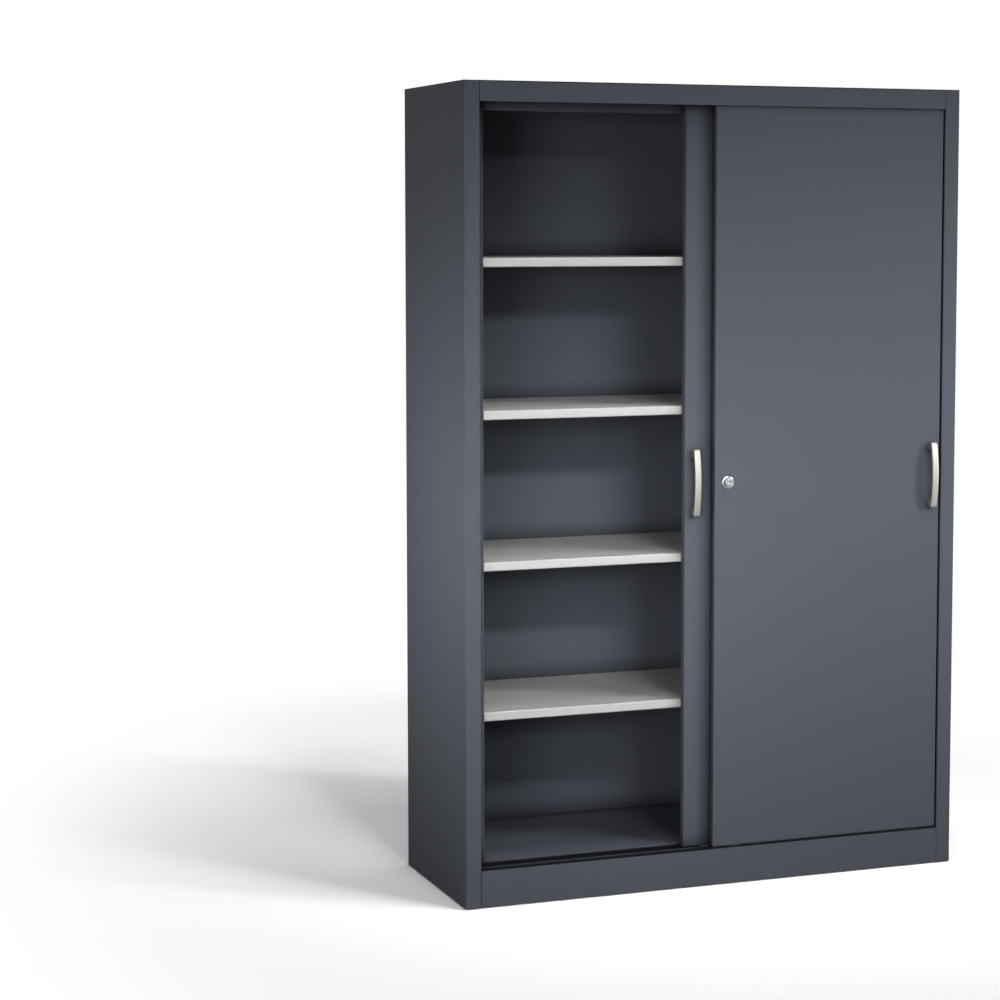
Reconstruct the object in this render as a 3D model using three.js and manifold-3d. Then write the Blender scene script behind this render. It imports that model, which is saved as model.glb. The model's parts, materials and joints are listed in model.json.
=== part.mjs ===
// Sliding door cabinet of folded sheet steel with four shelves and two doors that pass each other.
// Millimetres, +Z up. Build axes: x from the left side, y from the front face to the back, z from the floor.
import * as THREE from "three";
import { mergeVertices } from "three/addons/utils/BufferGeometryUtils.js";
import Module from "manifold-3d";

const wasm = await Module();
wasm.setup();

// Overall size and sheet
const cabinetWidth = 1200;
const cabinetDepth = 420;
const cabinetHeight = 1800;
const sheet = 1; // thickness of every folded panel
const seatGap = 0.3; // air between pieces that touch or are welded
const cutOverrun = 5; // how far a cutting solid passes the face it opens
const floorClearance = 2; // the feet lift the lowest sheet edge this far

// Corner posts, folded in one piece with each side
const postFace = 36; // width of the post's front face
const rackInset = 60; // from the side's outer face to the slotted face inside
const frontRackDepth = 28;
const rearRackDepth = 34;

// Slots and clips that carry the shelves
const slotWidth = 13;
const slotHeight = 8;
const slotsPerShelfStep = 6;
const clipSidePlay = 0.5; // between a clip and each end of its slot
const clipSheet = 1.5;
const clipTongue = 14;
const clipLeg = 13;
const clipNeck = 2; // height of the strip that passes through a slot
const clipNeckDrop = 7; // from the shelf's underside to the top of that strip

// Shelves and floor
const shelfCount = 4;
const lowestShelfTop = 424.5;
const highestShelfDrop = 334.4; // from the header's lower edge to the highest shelf's top
const shelfFlange = 20;
const shelfLip = 12;
const shelfPlay = 1;
const floorAbovePlinth = 9;
const floorFlange = 25;

// Top panel and header
const topFlange = 15;
const headerHeight = 44.5;
const headerTopFlange = 20;

// Plinth, back panel and the ledges that sit on the feet
const plinthTop = 84;
const hemDepth = 10;
const ledgeHeight = 12;
const ledgeGap = 1; // from a ledge's free edge to the depth of the door zone
const backFlange = 15;

// Levelling feet
const footInset = 95; // from the cabinet's side to a foot's axis
const footRadius = 14;
const footRim = 4;
const footNeckRadius = 7;
const footNeckHeight = 7;
const footStudRadius = 4;
const footStudTop = 38;

// Door rails
const ribThickness = 2;
const railLipAboveHeader = 1.5; // the guide's front lip ends this far above the header's lower edge
const guideRearLipDrop = 17.5; // from the header's lower edge to that of the guide's rear lip
const trackLipDrop = 1; // the track's front lip ends this far below the plinth's top
const ribAbovePlinth = 2;

// Doors
const doorThickness = 18;
const doorAboveRib = 1;
const doorBehindHeader = 6.5; // height of a door's upper edge that the header hides
const laneGap = 1.85; // from each face of a door to the lip or rib beside it
const doorLip = 15; // fold at the back of a door's side edges
const doorOverlap = 47; // width in which the closed doors cover each other
const doorDifference = 30; // the left door is this much wider than the right one
const doorEndGap = 2.5; // from a closed door's edge to the post
const openHandleGap = 34.1; // from the open left door's handle to the right door's edge
const stiffenerTop = 40; // width of the hat profile's raised part
const stiffenerFoot = 20;
const stiffenerBackGap = 1.7; // from the profile's crown to the door's rear plane

// Rollers under the doors and guides on top of them
const fittingInset = 60; // from a door's edge to the middle of a roller or guide
const rollerRadius = 9;
const rollerWidth = 6;
const rollerSideGap = 0.5;
const rollerTopGap = 2.2; // from a roller to the web of its fork
const axleRadius = 2;
const axleProud = 1; // riveted end of the axle outside its bracket
const bracketSheet = 1.5;
const bracketLength = 24;
const bracketBelowAxle = 4;
const guideLength = 40;
const guideHeight = 11;
const guideSideGap = 0.6;
const stopLength = 20;

// Handles
const handleHeight = 917; // height of handles and lock above the floor
const leftHandleInset = 21.4; // from the left door's free edge to its handle's centre
const rightHandleInset = 24.5;
const handleWidth = 15;
const handleReach = 30;
const handleBow = 8;
const handleBar = 7;
const handleCorner = 8;
const handleFootPitch = 128;
const handleFootHeight = 13;
const handleEndPast = 5.5; // the bar's end stands this far past its foot
const screwRadius = 2;
const screwHeadRadius = 4;
const screwHeadHeight = 2.5;
const screwBite = 8; // depth of the screw in the handle's foot

// Lock
const lockInset = 32.5; // from the right door's left edge to the lock's axis
const rosetteRim = 2.7; // how far the rosette reaches past the barrel
const rosetteHeight = 2.5;
const barrelWall = 2;
const barrelLength = 12;
const cylinderRadius = 10;
const cylinderProud = 8;
const cylinderPushed = 0.5; // how far the pushed cylinder still stands out
const cylinderWeb = 2.7; // between the plug's bore and the bolt
const cylinderEdge = 1; // chamfer round the cylinder's front
const boltRadius = 4;
const boltEndGap = 0.55; // from the locked bolt's end to the left door
const plugRadius = 5;
const plugDepth = 12;
const plugProud = 0.5;
const keySlotWidth = 1.4;
const keySlotHeight = 6;
const keySlotDepth = 8;
const strikeWidth = 20;
const strikeHeight = 30;
const strikeThickness = 2.5;
const strikePlay = 0.7; // between the bolt and the strike's hole, all round

// Facets of round pieces
const smallRoundSides = 16;
const rollerSides = 24;
const lockSides = 32;
const bowSteps = 16;
const cornerSteps = 5;

// Places that several pieces share
const wallTop = cabinetHeight - sheet - seatGap;
const headerBottom = wallTop - headerHeight + sheet + seatGap;
const railLeft = postFace + seatGap;
const railRight = cabinetWidth - railLeft;
const laneWidth = doorThickness + 2 * laneGap;
const railFront = sheet + seatGap;
const ribFront = railFront + sheet + laneWidth;
const ribRear = ribFront + ribThickness;
const railRear = ribRear + laneWidth + sheet;
const doorZone = railRear + seatGap; // depth from the front face to the flange behind the doors
const ledgeReach = doorZone - ledgeGap;
const guideTopWeb = wallTop - sheet - seatGap;
const trackRibTop = plinthTop + ribAbovePlinth;
const doorBottom = trackRibTop + doorAboveRib;
const doorHeight = headerBottom + doorBehindHeader - doorBottom;
const axleDrop = seatGap + bracketSheet + rollerTopGap + rollerRadius; // axle below a door's lower edge
const trackFloor = doorBottom - axleDrop - rollerRadius - seatGap;
const floorTop = plinthTop + floorAbovePlinth;
const doorSpan = cabinetWidth - 2 * (postFace + doorEndGap);
const leftDoorWidth = (doorSpan + doorOverlap + doorDifference) / 2;
const rightDoorWidth = leftDoorWidth - doorDifference;
const leftDoorClosed = postFace + doorEndGap;
const rightDoorLeft = leftDoorClosed + doorSpan - rightDoorWidth;
const leftDoorLeft = rightDoorLeft - openHandleGap - handleWidth / 2 - leftHandleInset;
const rightDoorFront = railFront + sheet + laneGap;
const leftDoorFront = ribRear + laneGap;
const lockX = rightDoorLeft + lockInset;
const barrelRadius = cylinderRadius + seatGap + barrelWall;
const handleAhead = handleReach - rightDoorFront; // how far the right handle stands before the front face
const shelfStep = (headerBottom - highestShelfDrop - lowestShelfTop) / (shelfCount - 1);
const slotBottomDrop = sheet + seatGap + clipNeckDrop + clipNeck;
const frontSlotMiddle = doorZone + frontRackDepth / 2;
const rearSlotMiddle = cabinetDepth - (rearRackDepth + backFlange) / 2;

// Finishes
const finishes = {
  anthracite: { color: 0x565b63, roughness: 0.55, metalness: 0.1 },
  galvanised: { color: 0xb9b8b4, roughness: 0.45, metalness: 0.6 },
  satinNickel: { color: 0xd6d5ce, roughness: 0.35, metalness: 0.8 },
  chrome: { color: 0xdfe1e4, roughness: 0.15, metalness: 1 },
  steel: { color: 0x9a9ca0, roughness: 0.4, metalness: 0.9 },
  plastic: { color: 0x1d1f22, roughness: 0.6, metalness: 0 },
  rubber: { color: 0x17181a, roughness: 0.9, metalness: 0 },
};

// Straight block between two corners
function block([x0, x1], [y0, y1], [z0, z1]) {
  const geometry = new THREE.BoxGeometry(1, 1, 1);
  const at = geometry.attributes.position;
  for (let i = 0; i < at.count; i++) {
    at.setXYZ(i, at.getX(i) < 0 ? x0 : x1, at.getY(i) < 0 ? y0 : y1, at.getZ(i) < 0 ? z0 : z1);
  }
  return geometry;
}

// Outline of a folded sheet. The path is one face of it, and the sheet lies on the path's left or right.
function foldedOutline(path, side, thickness = sheet) {
  const turn = side === "left" ? 1 : -1;
  const normals = path.slice(1).map(([x, y], i) => {
    const along = new THREE.Vector2(x - path[i][0], y - path[i][1]).normalize();
    return new THREE.Vector2(-along.y * turn, along.x * turn);
  });
  const other = path.map(([x, y], i) => {
    const before = normals[Math.max(i - 1, 0)];
    const after = normals[Math.min(i, normals.length - 1)];
    const reach = thickness / (1 + before.dot(after));
    return [x + (before.x + after.x) * reach, y + (before.y + after.y) * reach];
  });
  return [...path, ...other.reverse()];
}

// Outlines drawn out along each axis. Alongside x the outline is in y and z, alongside y it is in x and z.
function drawn(outline, length) {
  const shape = new THREE.Shape(outline.map(([x, y]) => new THREE.Vector2(x, y)));
  return new THREE.ExtrudeGeometry(shape, { depth: length, bevelEnabled: false });
}

function alongZ(outline, z0, z1) {
  return drawn(outline, z1 - z0).translate(0, 0, z0);
}

function alongX(outline, x0, x1) {
  const toX = new THREE.Matrix4().makeBasis(axisY, axisZ, axisX);
  return drawn(outline, x1 - x0).applyMatrix4(toX).translate(x0, 0, 0);
}

function alongY(outline, y0, y1) {
  const toY = new THREE.Matrix4().makeBasis(axisX, axisZ, axisY.clone().negate());
  return drawn(outline, y1 - y0).applyMatrix4(toY).translate(0, y1, 0);
}

const axisX = new THREE.Vector3(1, 0, 0);
const axisY = new THREE.Vector3(0, 1, 0);
const axisZ = new THREE.Vector3(0, 0, 1);

// Round piece about the y axis from radius and y pairs, outer surface first
function turned(profile, sides) {
  return new THREE.LatheGeometry(profile.map(([r, y]) => new THREE.Vector2(r, y)), sides);
}

function rod(radius, y0, y1, sides) {
  return turned([[0, y0], [radius, y0], [radius, y1], [0, y1]], sides);
}

// Cutting and joining
function solid(geometry) {
  const bare = geometry.clone();
  bare.deleteAttribute("normal");
  bare.deleteAttribute("uv");
  const merged = mergeVertices(bare);
  const triVerts = new Uint32Array(merged.index.array);
  const vertProperties = new Float32Array(merged.attributes.position.array);
  return new wasm.Manifold(new wasm.Mesh({ numProp: 3, vertProperties, triVerts }));
}

function geometryOf(manifold) {
  const mesh = manifold.getMesh();
  const geometry = new THREE.BufferGeometry();
  geometry.setAttribute("position", new THREE.BufferAttribute(new Float32Array(mesh.vertProperties), 3));
  geometry.setIndex(new THREE.BufferAttribute(new Uint32Array(mesh.triVerts), 1));
  return geometry;
}

function cut(base, ...tools) {
  return geometryOf(tools.reduce((whole, tool) => whole.subtract(solid(tool)), solid(base)));
}

function join(base, ...others) {
  return geometryOf(others.reduce((whole, other) => whole.add(solid(other)), solid(base)));
}

// Scene graph
const cabinet = new THREE.Group();
cabinet.position.set(-cabinetWidth / 2, (handleAhead - cabinetDepth) / 2, 0);

function add(parent, name, geometry, finish, x = 0, y = 0, z = 0) {
  const mesh = new THREE.Mesh(geometry, new THREE.MeshStandardMaterial(finishes[finish]));
  mesh.name = name;
  mesh.position.set(x, y, z);
  parent.add(mesh);
  return mesh;
}

// Heights of the shelves' top faces, lowest first
const shelfTops = Array.from({ length: shelfCount }, (_, i) => lowestShelfTop + i * shelfStep);

// Bottom edges of the shelf slots, in step with the shelves
function slotBottoms() {
  const pitch = shelfStep / slotsPerShelfStep;
  const grid = shelfTops[0] - slotBottomDrop;
  const below = Math.floor((grid - floorTop - slotHeight) / pitch);
  const above = Math.floor((headerBottom - slotHeight - grid) / pitch);
  return Array.from({ length: below + above + 1 }, (_, i) => grid + (i - below) * pitch);
}

// Side with its front and rear posts, folded from one sheet and slotted for the shelf clips
function sidePanel(mirror) {
  const path = [
    [rackInset, doorZone + frontRackDepth],
    [rackInset, doorZone],
    [postFace, doorZone],
    [postFace, 0],
    [0, 0],
    [0, cabinetDepth],
    [rackInset, cabinetDepth],
    [rackInset, cabinetDepth - rearRackDepth],
  ];
  const outline = foldedOutline(path, "right").map(([x, y]) => [x * mirror, y]);
  const slots = [frontSlotMiddle, rearSlotMiddle].flatMap((middle) => slotBottoms().map((bottom) => {
    const through = [rackInset - cutOverrun, rackInset + cutOverrun].map((x) => x * mirror);
    const across = [middle - slotWidth / 2, middle + slotWidth / 2];
    return block(through.sort((a, b) => a - b), across, [bottom, bottom + slotHeight]);
  }));
  return cut(alongZ(outline, floorClearance, wallTop), ...slots);
}

add(cabinet, "left_side_panel", sidePanel(1), "anthracite");
add(cabinet, "right_side_panel", sidePanel(-1), "anthracite", cabinetWidth);

// Horizontal panel that reaches into both side pockets, notched round the four posts
function notchedPanel(front, play, flange, lip) {
  const side = sheet + play;
  const frontInner = rackInset + play;
  const rearInner = rackInset + seatGap + sheet + play;
  const frontNotch = doorZone + frontRackDepth + play;
  const rearNotch = cabinetDepth - rearRackDepth - play;
  const rear = cabinetDepth - sheet - play;
  const half = [
    [frontInner, front],
    [frontInner, frontNotch],
    [side, frontNotch],
    [side, rearNotch],
    [rearInner, rearNotch],
    [rearInner, rear],
  ];
  const otherHalf = half.map(([x, y]) => [cabinetWidth - x, y]).reverse();
  const plate = alongZ([...half, ...otherHalf], -sheet, 0);
  const frontSpan = [frontInner, cabinetWidth - frontInner];
  const rearSpan = [rearInner, cabinetWidth - rearInner];
  const down = [-flange, 0];
  const under = [-flange, -flange + sheet];
  return join(
    plate,
    block(frontSpan, [front, front + sheet], down),
    block(rearSpan, [rear - sheet, rear], down),
    block([side, side + sheet], [frontNotch, rearNotch], down),
    block([cabinetWidth - side - sheet, cabinetWidth - side], [frontNotch, rearNotch], down),
    block(frontSpan, [front, front + lip], under),
    block(rearSpan, [rear - lip, rear], under),
  );
}

add(cabinet, "bottom_panel", notchedPanel(doorZone, seatGap, floorFlange, shelfLip), "anthracite", 0, 0, floorTop);
shelfTops.forEach((top, i) => {
  const shelf = notchedPanel(doorZone + seatGap + shelfPlay, shelfPlay, shelfFlange, shelfLip);
  add(cabinet, `shelf_${i + 1}`, shelf, "galvanised", 0, 0, top);
});

// Clip hooked into a slot, with a tongue under the shelf. Its own origin is on the slotted face.
function shelfClip() {
  const top = -seatGap;
  const hookFar = -sheet - seatGap - clipSheet;
  const outline = [
    [seatGap, top],
    [clipTongue, top],
    [clipTongue, top - clipSheet],
    [seatGap + clipSheet, top - clipSheet],
    [seatGap + clipSheet, top - clipLeg],
    [seatGap, top - clipLeg],
    [seatGap, -clipNeckDrop - clipNeck],
    [-sheet - seatGap, -clipNeckDrop - clipNeck],
    [-sheet - seatGap, top - clipLeg],
    [hookFar, top - clipLeg],
    [hookFar, -clipNeckDrop],
    [seatGap, -clipNeckDrop],
  ];
  const half = slotWidth / 2 - clipSidePlay;
  return alongY(outline, -half, half);
}

shelfTops.forEach((top, i) => {
  for (const [end, y] of [["front", frontSlotMiddle], ["rear", rearSlotMiddle]]) {
    add(cabinet, `shelf_${i + 1}_clip_left_${end}`, shelfClip(), "steel", rackInset, y, top - sheet);
    const right = cabinetWidth - rackInset;
    const clip = add(cabinet, `shelf_${i + 1}_clip_right_${end}`, shelfClip(), "steel", right, y, top - sheet);
    clip.rotation.z = Math.PI;
  }
});

// Flat lid with flanges that stand inside the sides and the back
function topPanel() {
  const frontEnd = doorZone + frontRackDepth + seatGap;
  const rearEnd = cabinetDepth - rearRackDepth - seatGap;
  const inside = sheet + seatGap;
  const sideRun = [frontEnd, rearEnd];
  const down = [cabinetHeight - topFlange, cabinetHeight];
  const rearInner = rackInset + 2 * (seatGap + sheet);
  return join(
    block([0, cabinetWidth], [0, cabinetDepth], [cabinetHeight - sheet, cabinetHeight]),
    block([inside, inside + sheet], sideRun, down),
    block([cabinetWidth - inside - sheet, cabinetWidth - inside], sideRun, down),
    block([rearInner, cabinetWidth - rearInner], [cabinetDepth - inside - sheet, cabinetDepth - inside], down),
  );
}

add(cabinet, "top_panel", topPanel(), "anthracite");

// Header between the posts, folded back under the lid
function headerRail() {
  const path = [[0, headerBottom], [0, wallTop], [headerTopFlange, wallTop]];
  return alongX(foldedOutline(path, "right"), railLeft, railRight);
}

add(cabinet, "header_rail", headerRail(), "anthracite");

// Edge folded in and up again to a ledge that sits on two feet
function ledgePath(face, inward, top) {
  return [
    [face, top],
    [face, floorClearance],
    [face + inward * hemDepth, floorClearance],
    [face + inward * hemDepth, ledgeHeight],
    [face + inward * ledgeReach, ledgeHeight],
  ];
}

const footY = (hemDepth + ledgeReach) / 2;
const footXs = [footInset, cabinetWidth - footInset];

// Holes for the studs of two feet
function footHoles(y) {
  const hole = rod(footStudRadius + seatGap, -cutOverrun, cutOverrun, smallRoundSides).rotateX(Math.PI / 2);
  return footXs.map((x) => hole.clone().translate(x, y, ledgeHeight));
}

function plinthRail() {
  const profile = alongX(foldedOutline(ledgePath(0, 1, plinthTop), "left"), railLeft, railRight);
  return cut(profile, ...footHoles(footY));
}

add(cabinet, "plinth_rail", plinthRail(), "anthracite");

// Back between the rear posts, with side flanges and a ledge
function backPanel() {
  const left = rackInset + seatGap;
  const right = cabinetWidth - left;
  const path = ledgePath(cabinetDepth, -1, wallTop);
  const flangeDepth = [cabinetDepth - backFlange, cabinetDepth];
  const flangeHeight = [floorClearance, wallTop];
  const folded = join(
    alongX(foldedOutline(path, "right"), left, right),
    block([left, left + sheet], flangeDepth, flangeHeight),
    block([right - sheet, right], flangeDepth, flangeHeight),
  );
  return cut(folded, ...footHoles(cabinetDepth - footY));
}

add(cabinet, "back_panel", backPanel(), "anthracite");

// Levelling foot whose shoulder carries a ledge
function levellingFoot() {
  const shoulder = ledgeHeight - seatGap;
  const profile = [
    [0, 0],
    [footRadius, 0],
    [footRadius, footRim],
    [footNeckRadius, footNeckHeight],
    [footNeckRadius, shoulder],
    [footStudRadius, shoulder],
    [footStudRadius, footStudTop],
    [0, footStudTop],
  ];
  return turned(profile, smallRoundSides).rotateX(Math.PI / 2);
}

for (const [end, y] of [["front", footY], ["rear", cabinetDepth - footY]]) {
  add(cabinet, `levelling_foot_left_${end}`, levellingFoot(), "plastic", footXs[0], y);
  add(cabinet, `levelling_foot_right_${end}`, levellingFoot(), "plastic", footXs[1], y);
}

// Two-channel rail: a web with a lip at each side and a rib between the doors
function twoChannels(webFace, webBack, frontLip, rib, rearLip) {
  return [
    [railFront, webBack],
    [railFront, frontLip],
    [railFront + sheet, frontLip],
    [railFront + sheet, webFace],
    [ribFront, webFace],
    [ribFront, rib],
    [ribRear, rib],
    [ribRear, webFace],
    [railRear - sheet, webFace],
    [railRear - sheet, rearLip],
    [railRear, rearLip],
    [railRear, webBack],
  ];
}

function topGuideRail() {
  const lip = headerBottom + railLipAboveHeader;
  const outline = twoChannels(guideTopWeb - sheet, guideTopWeb, lip, lip, headerBottom - guideRearLipDrop);
  return alongX(outline, railLeft, railRight);
}

function bottomTrack() {
  const lip = plinthTop - trackLipDrop;
  const outline = twoChannels(trackFloor, trackFloor - sheet, lip, trackRibTop, trackRibTop);
  return alongX(outline, railLeft, railRight);
}

add(cabinet, "top_guide_rail", topGuideRail(), "anthracite");
add(cabinet, "bottom_track", bottomTrack(), "anthracite");

// Door skin: a tray open at the back between two side lips, with the holes that its fittings need.
// A door's own origin is the lower left corner of its front face.
function doorSkin(width, holes) {
  const inside = [sheet, width - sheet];
  const tall = [sheet, doorHeight - sheet];
  const tray = block([0, width], [0, doorThickness], [0, doorHeight]);
  const hollow = block(inside, [sheet, doorThickness - sheet], tall);
  const backOpening = block(
    [sheet + doorLip, width - sheet - doorLip],
    [doorThickness / 2, doorThickness + cutOverrun],
    tall,
  );
  const bores = holes.map(([radius, x, z]) =>
    rod(radius, -cutOverrun, cutOverrun, lockSides).translate(x, 0, z));
  return cut(tray, hollow, backOpening, ...bores);
}

// Hat profile bonded down the inside of a door
function doorStiffener() {
  const near = sheet + seatGap;
  const far = doorThickness - stiffenerBackGap - sheet;
  const half = stiffenerTop / 2;
  const path = [
    [-half - stiffenerFoot, near],
    [-half, near],
    [-half, far],
    [half, far],
    [half, near],
    [half + stiffenerFoot, near],
  ];
  return alongZ(foldedOutline(path, "left"), sheet + seatGap, doorHeight - sheet - seatGap);
}

// Bow handle seen from the side, from one foot over the bar to the other
function handleOutline() {
  const footOuter = (handleFootPitch + handleFootHeight) / 2;
  const halfLength = footOuter + handleEndPast;
  const footInner = footOuter - handleFootHeight;
  const endReach = handleReach - handleBow;
  const arcEnd = halfLength - handleCorner;
  const bow = (y, z, end) => new THREE.QuadraticBezierCurve(
    new THREE.Vector2(y, -end),
    new THREE.Vector2(y - 2 * z, 0),
    new THREE.Vector2(y, end),
  );
  const corner = new THREE.QuadraticBezierCurve(
    new THREE.Vector2(-endReach, arcEnd),
    new THREE.Vector2(-endReach, halfLength),
    new THREE.Vector2(-endReach + handleCorner, halfLength),
  );
  const upperCorner = corner.getPoints(cornerSteps).slice(1);
  const lowerCorner = upperCorner.map((p) => new THREE.Vector2(p.x, -p.y)).reverse();
  const outer = bow(-endReach, handleBow, arcEnd).getPoints(bowSteps);
  const inner = bow(-endReach + handleBar, handleBow, footInner).getPoints(bowSteps).reverse();
  const points = [
    new THREE.Vector2(-seatGap, -footInner),
    new THREE.Vector2(-seatGap, -footOuter),
    ...lowerCorner,
    ...outer,
    ...upperCorner,
    new THREE.Vector2(-seatGap, footOuter),
    new THREE.Vector2(-seatGap, footInner),
    ...inner,
  ];
  return points.map((p) => [p.x, p.y]);
}

const screwZs = [handleFootPitch / 2, -handleFootPitch / 2];

// Handle with a blind hole in each foot. Its own origin is on the door's face at the handle's centre.
function handle() {
  const bar = alongX(handleOutline(), -handleWidth / 2, handleWidth / 2);
  const bore = rod(screwRadius + seatGap, -screwBite - seatGap, cutOverrun, smallRoundSides);
  return cut(bar, ...screwZs.map((z) => bore.clone().translate(0, 0, z)));
}

// Screw from inside the door into a handle's foot
function handleScrew() {
  const headUnderside = sheet + seatGap;
  const profile = [
    [0, -screwBite],
    [screwRadius, -screwBite],
    [screwRadius, headUnderside],
    [screwHeadRadius, headUnderside],
    [screwHeadRadius, headUnderside + screwHeadHeight],
    [0, headUnderside + screwHeadHeight],
  ];
  return turned(profile, smallRoundSides);
}

// Fork under a door that holds a roller on a riveted axle
function rollerBracket() {
  const half = rollerWidth / 2 + rollerSideGap + bracketSheet;
  const low = -axleDrop - bracketBelowAxle;
  const path = [[-half, low], [-half, -seatGap], [half, -seatGap], [half, low]];
  const fork = alongX(foldedOutline(path, "right", bracketSheet), -bracketLength / 2, bracketLength / 2);
  const axle = rod(axleRadius, -half - axleProud, half + axleProud, smallRoundSides);
  return join(fork, axle.translate(0, 0, -axleDrop));
}

function roller() {
  const half = rollerWidth / 2;
  const bore = axleRadius + seatGap;
  const profile = [[bore, -half], [rollerRadius, -half], [rollerRadius, half], [bore, half], [bore, -half]];
  return turned(profile, rollerSides);
}

// Sliding block with round ends on a door's upper edge
function topGuide() {
  const half = laneWidth / 2 - guideSideGap;
  const shape = new THREE.Shape();
  shape.absarc(guideLength / 2 - half, 0, half, -Math.PI / 2, Math.PI / 2);
  shape.absarc(half - guideLength / 2, 0, half, Math.PI / 2, Math.PI * 3 / 2);
  const block = new THREE.ExtrudeGeometry(shape, {
    depth: guideHeight,
    bevelEnabled: false,
    curveSegments: cornerSteps * 2,
  });
  return block.translate(0, 0, doorHeight + seatGap);
}

// Everything that both doors carry
function door(side, width, x, y, handleX, holes) {
  const group = new THREE.Group();
  group.position.set(x, y, doorBottom);
  cabinet.add(group);
  const middle = doorThickness / 2;
  const handleZ = handleHeight - doorBottom;
  const screwHoles = screwZs.map((z) => [screwRadius + seatGap, handleX, handleZ + z]);
  add(group, `${side}_door_skin`, doorSkin(width, [...screwHoles, ...holes]), "anthracite");
  add(group, `${side}_door_stiffener`, doorStiffener(), "anthracite", width / 2);
  add(group, `${side}_door_handle`, handle(), "satinNickel", handleX, 0, handleZ);
  add(group, `${side}_handle_screw_upper`, handleScrew(), "steel", handleX, 0, handleZ + screwZs[0]);
  add(group, `${side}_handle_screw_lower`, handleScrew(), "steel", handleX, 0, handleZ + screwZs[1]);
  for (const [end, along] of [["a", fittingInset], ["b", width - fittingInset]]) {
    add(group, `${side}_roller_bracket_${end}`, rollerBracket(), "steel", along, middle);
    add(group, `${side}_roller_${end}`, roller(), "plastic", along, middle, -axleDrop);
    add(group, `${side}_top_guide_${end}`, topGuide(), "plastic", along, middle);
  }
  return group;
}

const lockZ = handleHeight - doorBottom;
const leftDoor = door("left", leftDoorWidth, leftDoorLeft, leftDoorFront, leftHandleInset, []);
const rightDoor = door(
  "right",
  rightDoorWidth,
  rightDoorLeft,
  rightDoorFront,
  rightDoorWidth - rightHandleInset,
  [[barrelRadius + seatGap, lockInset, lockZ]],
);

// Buffer in the rear channel that stops the left door where its handle is still free
function leftDoorStop() {
  const along = leftDoorLeft + leftDoorWidth - fittingInset + guideLength / 2 + seatGap;
  const across = [ribRear + seatGap, railRear - sheet - seatGap];
  const upright = [doorBottom + doorHeight + seatGap, guideTopWeb - sheet - seatGap];
  return block([along, along + stopLength], across, upright);
}

add(cabinet, "left_door_stop", leftDoorStop(), "rubber");

// Lock housing: rosette on the door's face and barrel through it. The lock's pieces share the door's y.
function lockHousing() {
  const bore = cylinderRadius + seatGap;
  const face = -seatGap - rosetteHeight;
  const rosetteRadius = barrelRadius + rosetteRim;
  const profile = [
    [bore, face],
    [rosetteRadius - rosetteHeight / 2, face],
    [rosetteRadius, face + rosetteHeight / 2],
    [rosetteRadius, -seatGap],
    [barrelRadius, -seatGap],
    [barrelRadius, barrelLength],
    [bore, barrelLength],
    [bore, face],
  ];
  return turned(profile, lockSides);
}

const cylinderFace = -seatGap - rosetteHeight - cylinderProud;

// Push cylinder with the bolt behind it and a bore for the plug
function lockCylinder() {
  const bore = plugRadius + seatGap;
  const boreEnd = cylinderFace + plugDepth + seatGap;
  const bodyEnd = boreEnd + cylinderWeb;
  const pushTravel = cylinderProud - cylinderPushed;
  const boltTip = leftDoorFront - rightDoorFront - boltEndGap - pushTravel;
  const profile = [
    [0, boreEnd],
    [bore, boreEnd],
    [bore, cylinderFace],
    [cylinderRadius - cylinderEdge, cylinderFace],
    [cylinderRadius, cylinderFace + cylinderEdge],
    [cylinderRadius, bodyEnd],
    [boltRadius, bodyEnd],
    [boltRadius, boltTip],
    [0, boltTip],
  ];
  return turned(profile, lockSides);
}

function lockPlug() {
  const face = cylinderFace - plugProud;
  const plug = rod(plugRadius, face, cylinderFace + plugDepth, lockSides);
  const keySlot = block(
    [-keySlotWidth / 2, keySlotWidth / 2],
    [face - cutOverrun, face + keySlotDepth],
    [-keySlotHeight / 2, keySlotHeight / 2],
  );
  return cut(plug, keySlot);
}

add(rightDoor, "lock_housing", lockHousing(), "chrome", lockInset, 0, lockZ);
add(rightDoor, "lock_cylinder", lockCylinder(), "chrome", lockInset, 0, lockZ);
add(rightDoor, "lock_plug", lockPlug(), "chrome", lockInset, 0, lockZ);

// Plate on the left door that takes the bolt when both doors are closed
function lockStrike() {
  const plate = block(
    [-strikeWidth / 2, strikeWidth / 2],
    [-seatGap - strikeThickness, -seatGap],
    [-strikeHeight / 2, strikeHeight / 2],
  );
  return cut(plate, rod(boltRadius + strikePlay, -cutOverrun, cutOverrun, lockSides));
}

add(leftDoor, "left_lock_strike", lockStrike(), "steel", lockX - leftDoorClosed, 0, lockZ);

export default cabinet;
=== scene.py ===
"""Sliding door cabinet: bent edges, finishes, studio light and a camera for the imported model."""
import json
import math

import bmesh
import bpy
from mathutils import Matrix, Vector

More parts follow.
